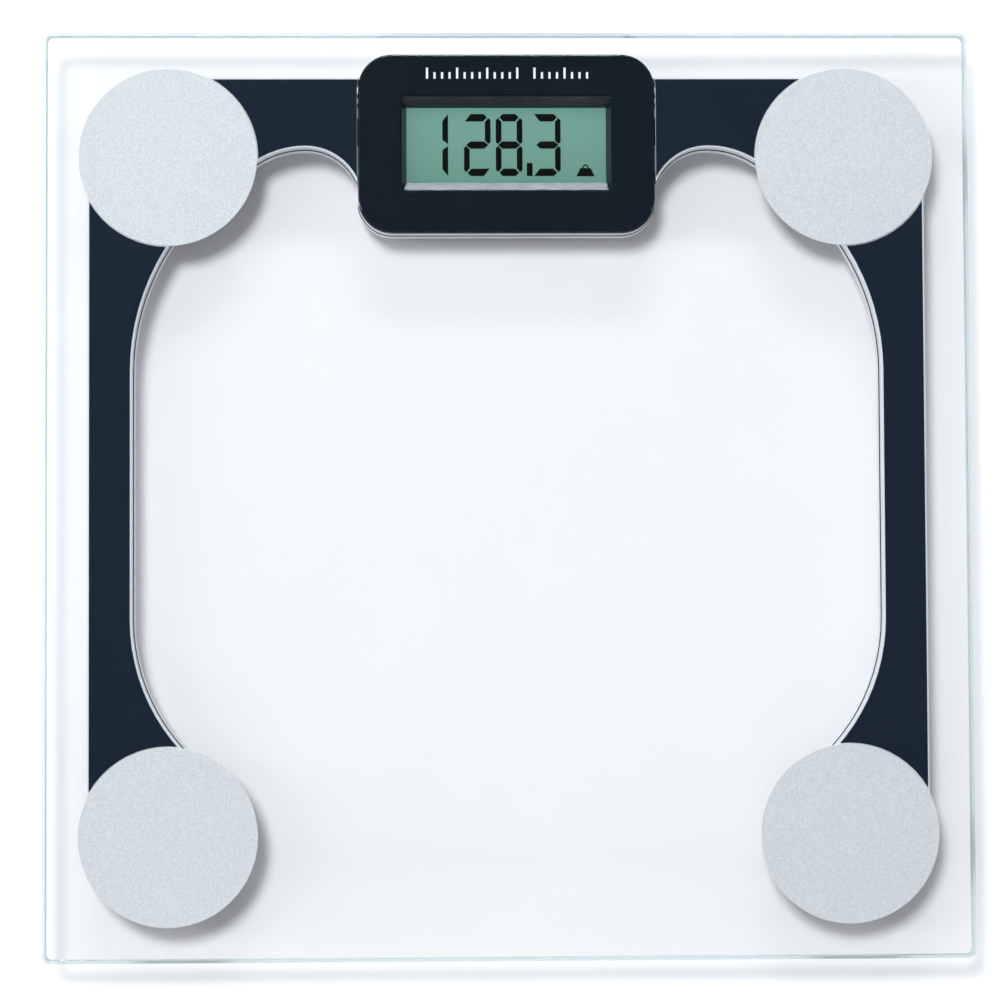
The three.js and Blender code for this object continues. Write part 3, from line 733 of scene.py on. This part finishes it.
def screw(node, head_r, head_h, shank_r, length):
    """Pan head with a cross recess, and a shank with a coarse thread."""
    x, y, _ = middle(node)
    z = span(node, 2)[0]
    sides, pitch, tip = 24, 0.85, 1.0
    bm = bmesh.new()

    def at(px, py, pz):
        return bm.verts.new(Vector((x + px, y + py, z + pz)) * MM)

    def ring(r, h, twist=None):
        made = []
        for i in range(sides):
            a = FULL_TURN * i / sides
            wave = 0.0
            if twist is not None:
                phase = (i / sides + twist) % 1
                wave = 0.3 * abs(2 * phase - 1) ** 1.5
            made.append(at(r * (1 - wave) * math.cos(a), r * (1 - wave) * math.sin(a), h))
        return made

    def loop(verts):
        return [bm.edges.new((verts[i], verts[(i + 1) % len(verts)])) for i in range(len(verts))]

    def wall(a, b):
        for i in range(len(a)):
            j = (i + 1) % len(a)
            bm.faces.new((a[i], a[j], b[j], b[i]))

    long, wide = 0.6 * head_r, 0.16 * head_r
    arm = [(long, -wide), (long, wide), (wide, wide)]
    cross = [Matrix.Rotation(k * math.pi / 2, 2) @ Vector(p) for k in range(4) for p in arm]
    mouth = [at(p.x, p.y, 0.02) for p in cross]
    floor = [at(p.x * 0.8, p.y * 0.8, 0.6 * head_h) for p in cross]
    face = ring(0.8 * head_r, 0.02)
    bmesh.ops.triangle_fill(bm, edges=loop(face) + loop(mouth), use_beauty=True)
    wall(mouth, floor)
    bm.faces.new(floor)
    rows = [face, ring(0.95 * head_r, 0.12 * head_h), ring(head_r, 0.35 * head_h), ring(head_r, head_h)]
    rows.append(ring(shank_r, head_h))
    steps = int((length - tip - head_h) / pitch * 6)
    for i in range(1, steps + 1):
        h = head_h + (length - tip - head_h) * i / steps
        rows.append(ring(shank_r, h, h / pitch))
    rows.append(ring(0.12 * shank_r, length - 0.02))
    for a, b in zip(rows, rows[1:]):
        wall(a, b)
    bm.faces.new(rows[-1])
    piece(node + "_threaded", bm, ZINC, stands_for=[node], smooth=40)


def screws():
    for side in SIDES:
        for place in ("arm_far", "arm_near", "bar"):
            screw(f"cover_screw_{place}_{side}", *COVER_SCREW)
        screw("board_screw_" + side, *BOARD_SCREW)
    for corner in CORNERS:
        screw("case_screw_" + corner, *CASE_SCREW)


def foot(corner):
    body = "foot_" + corner
    node, pad = "foot_" + corner, "foot_pad_" + corner
    x, y, _ = middle(node)
    profile = [(0, 2.25), (14.3, 2.25), (14.3, 1), (16.2, 1), (17, 1.8), (17, 4.6), (15.4, 6), (9, 6.6)]
    profile += [(9, 10.5), (4.5, 10.5), (4.5, 12.3), (0, 12.3)]
    piece(node + "_moulded", lathe(rounded(profile, 0.5), (x, y, 0)), FOOT, body, [node])
    tread = [(0, 0.35), (1.6, 0.35), (1.9, 0)]
    for r in (4.4, 6.9, 9.4):
        tread += [(r - 0.5, 0), (r - 0.35, 0.45), (r + 0.35, 0.45), (r + 0.5, 0)]
    tread += [(13.3, 0), (14, 0.7), (14, 2.2), (0, 2.2)]
    piece(pad + "_ribbed", lathe(rounded(tread, 0.18, 2), (x, y, 0)), RUBBER, body, [pad])


def load_cell(corner):
    """Stamped rim on the frame, and a tongue; the real tongue bends up with the foot, but this one
    stays where it is made.
    """
    node, body = "load_cell_" + corner, "foot_" + corner
    x, y, _ = middle(node)
    low, high = span(node, 2)
    half, inner, slot = 14, 9.5, 2.5
    tongue_half = inner - slot

    def box(bm, xs, ys, zs, divide=0):
        made = bmesh.ops.create_cube(bm, size=1)["verts"]
        size = [b - a for a, b in (xs, ys, zs)]
        centre = [(a + b) / 2 for a, b in (xs, ys, zs)]
        bmesh.ops.scale(bm, vec=Vector(size) * MM, verts=made)
        bmesh.ops.translate(bm, vec=Vector(centre) * MM, verts=made)
        if divide:
            edges = [e for e in bm.edges if abs(e.verts[0].co.y - e.verts[1].co.y) > 0.5 * size[1] * MM]
            bmesh.ops.subdivide_edges(bm, edges=edges, cuts=divide, use_grid_fill=True)

    rim = bmesh.new()
    outline = [(-half, -half), (half, -half), (half, half), (-half, half)]
    hole = [(-inner, -inner), (inner, -inner), (inner, inner), (-inner, inner)]
    under_out, over_out, under_in, over_in = (
        [rim.verts.new(Vector((x + px, y + py, z)) * MM) for px, py in points]
        for points, z in ((outline, low), (outline, high), (hole, low), (hole, high))
    )
    for i in range(4):
        j = (i + 1) % 4
        rim.faces.new((under_out[i], under_out[j], over_out[j], over_out[i]))
        rim.faces.new((under_in[j], under_in[i], over_in[i], over_in[j]))
        rim.faces.new((over_out[i], over_out[j], over_in[j], over_in[i]))
        rim.faces.new((under_out[j], under_out[i], under_in[i], under_in[j]))
    bmesh.ops.recalc_face_normals(rim, faces=rim.faces)
    upright = [e for e in rim.edges if abs(e.verts[0].co.z - e.verts[1].co.z) > 0.5 * MM]
    bmesh.ops.bevel(
        rim,
        geom=upright,
        offset=1.2 * MM,
        segments=5,
        profile=0.5,
        affect="EDGES",
        clamp_overlap=True,
    )
    soften(rim, 0.12, 2)
    piece(node + "_rim", rim, PLATED, stands_for=[node])

    tongue = bmesh.new()
    across, along = (x - tongue_half, x + tongue_half), (y - tongue_half, y + inner + 0.4)
    box(tongue, across, along, (low + 0.02, high - 0.02), 14)
    soften(tongue, 0.12, 2)
    made = piece(node + "_tongue", tongue, PLATED, body=None)
    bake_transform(made)

    gauge = bmesh.new()
    box(gauge, (x - 4.5, x + 4.5), (y + inner + 0.6, y + inner + 3.4), (high - 0.05, high + 0.35))
    soften(gauge, 0.25, 3)
    piece("strain_gauge_" + corner, gauge, GAUGE)


def circuit():
    refined("circuit_board", BOARD, 0.12)
    x, y, _ = middle("controller_chip")
    low, high = span("controller_chip", 2)
    blob = [(0, 0), (7, 0), (6.4, 0.35), (5.2, 0.62), (3, 0.82), (0, high - low)]
    bm = lathe(blob, (x, y, low), 48)
    piece("controller_chip_blob", bm, EPOXY, stands_for=["controller_chip"])
    refined("zebra_strip", ZEBRA, 0.1)
    refined("tact_switch", SWITCH, 0.15)
    top = span("circuit_board", 2)[1]
    bodies, ends = [], []
    spots = [(-30, 108), (-26, 108), (-22, 108), (-30, 116), (-24, 116), (-16, 122), (-9, 122)]
    spots += [(12, 122), (18, 118), (24, 108), (28, 108), (32, 112), (24, 118), (31, 121)]
    for px, py in spots:
        bodies.append(rectangle(px, py, 1.1, 0.9))
        ends += [rectangle(px - 0.8, py, 0.5, 0.96), rectangle(px + 0.8, py, 0.5, 0.96)]
    for name, outlines, material, high in (
        ("board_resistors", bodies, CERAMIC, 0.42),
        ("board_solder_ends", ends, TIN, 0.47),
    ):
        bm = plates(outlines, top, top + high)
        soften(bm, 0.08, 2)
        piece(name, bm, material)


def battery():
    x, y, _ = middle("coin_cell")
    low, high = span("coin_cell", 2)
    tall = high - low
    profile = [(0, 0.12), (6.8, 0.12), (7.1, 0), (9.6, 0), (10, 0.45)]
    profile += [(10, tall - 0.55), (9.3, tall - 0.35), (8.9, tall), (0, tall)]
    bm = lathe(rounded(profile, 0.3, 3), (x, y, low))
    piece("coin_cell_can", bm, CAN, stands_for=["coin_cell"])
    for node in ("battery_contact_positive", "battery_contact_negative"):
        refined(node, BRASS, 0.08)


def under_display():
    node = "display_back_cover"
    bm = from_cad(node)
    low, high = span(node, 2)
    wall_profile(bm, [(high, 0.5), (low, 0.55)], unit_edge)
    soften(bm, 0.3, 3)
    piece(node + "_moulded", bm, PALE, stands_for=[node])
    refined("battery_door", PALE, 0.15, body="battery_door")
    x, y, _ = middle("unit_button")
    profile = [(0, 4.75), (2.6, 4.6), (3.7, 4.4), (4.4, 4.75), (4.4, 6), (5.6, 6), (5.6, 6.7), (0, 6.7)]
    bm = lathe(rounded(profile, 0.3), (x, y, 0), 64)
    piece("unit_button_cap", bm, BUTTON, "unit_button", ["unit_button"])


def looms():
    for side in SIDES:
        for end in ("far", "near"):
            refined(f"wire_loom_{end}_{side}", SLEEVE, 0.02)


# ------------------------------------------------------------------ floor, light and camera
COOL = (0.955, 0.98, 1.0)


def area_light(name, place, target, size, power, seen=True, tone=COOL):
    data = bpy.data.lights.new(name, "AREA")
    data.shape = "RECTANGLE"
    data.size, data.size_y = size
    data.energy = power
    data.color = tone
    made = bpy.data.objects.new(name, data)
    made.location = place
    made.rotation_euler = (Vector(target) - Vector(place)).to_track_quat("-Z", "Y").to_euler()
    made.visible_glossy = made.visible_transmission = seen
    scene.collection.objects.link(made)


def surroundings():
    """Even studio light, darker straight above so that the glass stays clear."""
    world = bpy.data.worlds.new("studio")
    scene.world = world
    world.use_nodes = True
    nodes, link = world.node_tree.nodes, world.node_tree.links.new
    nodes.clear()
    out = nodes.new("ShaderNodeOutputWorld")
    back = nodes.new("ShaderNodeBackground")
    place = nodes.new("ShaderNodeTexCoord").outputs["Generated"]
    axes = nodes.new("ShaderNodeSeparateXYZ")
    toward = nodes.new("ShaderNodeVectorMath")
    toward.operation = "DOT_PRODUCT"
    toward.inputs[1].default_value = (-0.8, 0.6, 0)
    link(place, axes.inputs[0])
    link(place, toward.inputs[0])
    levels = []
    # each factor runs from its third to its fourth number as its source goes from first to second
    overhead = (axes.outputs[2], (0.9, 0.973, 0.5, 0.03))
    sideways = (toward.outputs["Value"], (-1, 1, 0.6, 1.4))
    for source, bounds in (overhead, sideways):
        ramp = nodes.new("ShaderNodeMapRange")
        ramp.interpolation_type = "SMOOTHSTEP"
        for i, value in enumerate(bounds, 1):
            ramp.inputs[i].default_value = value
        link(source, ramp.inputs[0])
        levels.append(ramp.outputs[0])
    product = nodes.new("ShaderNodeMath")
    product.operation = "MULTIPLY"
    link(levels[0], product.inputs[0])
    link(levels[1], product.inputs[1])
    link(product.outputs[0], back.inputs["Strength"])
    back.inputs["Color"].default_value = (*COOL, 1)
    link(back.outputs[0], out.inputs[0])


def studio():
    floor = bmesh.new()
    bmesh.ops.create_grid(floor, x_segments=2, y_segments=2, size=4.0)
    bmesh.ops.translate(floor, vec=(0, 0, -0.02 * MM), verts=floor.verts)
    mesh = bpy.data.meshes.new("floor")
    floor.to_mesh(mesh)
    floor.free()
    mesh.materials.append(pale_floor())
    made = bpy.data.objects.new("floor", mesh)
    scene.collection.objects.link(made)
    surroundings()
    area_light("key", (-0.42, 0.6, 2.1), (0, 0, 0), (0.48, 0.48), 43, seen=False)
    area_light("far_box", (0, 1.25, 0.74), (0, 0.05, 0), (0.62, 0.2), 5.5, tone=(0.84, 0.97, 1.0))
    area_light("near_box", (0, -1.25, 0.78), (0, 0, 0), (1.0, 0.25), 2.2)
    area_light("left_box", (-1.3, 0.1, 0.75), (0, 0, 0), (0.2, 1.2), 5.5)
    area_light("right_box", (1.3, 0.0, 0.75), (0, 0, 0), (0.2, 1.2), 1.5)
    scene.view_settings.view_transform = "Standard"
    scene.view_settings.look = "None"


def camera():
    data = bpy.data.cameras.new("camera")
    data.sensor_width = 36
    data.lens = 114.7
    data.clip_start, data.clip_end = 0.05, 50
    made = bpy.data.objects.new("camera", data)
    right, up = Vector((0.99969, -0.00475, 0.02435)), Vector((0.00362, 0.99893, 0.04616))
    turn = Matrix((right, up, right.cross(up))).transposed()
    made.matrix_world = Matrix.Translation((-0.0280, -0.0493, 1.050)) @ turn.to_4x4()
    scene.collection.objects.link(made)
    scene.camera = made


glass_platform()
corner_discs()
side_frames()
display_housing()
lcd()
graduations()
screws()
for corner in CORNERS:
    foot(corner)
    refined("load_cell_retainer_" + corner, FOOT, 0.2)
    load_cell(corner)
circuit()
battery()
under_display()
looms()
studio()
camera()
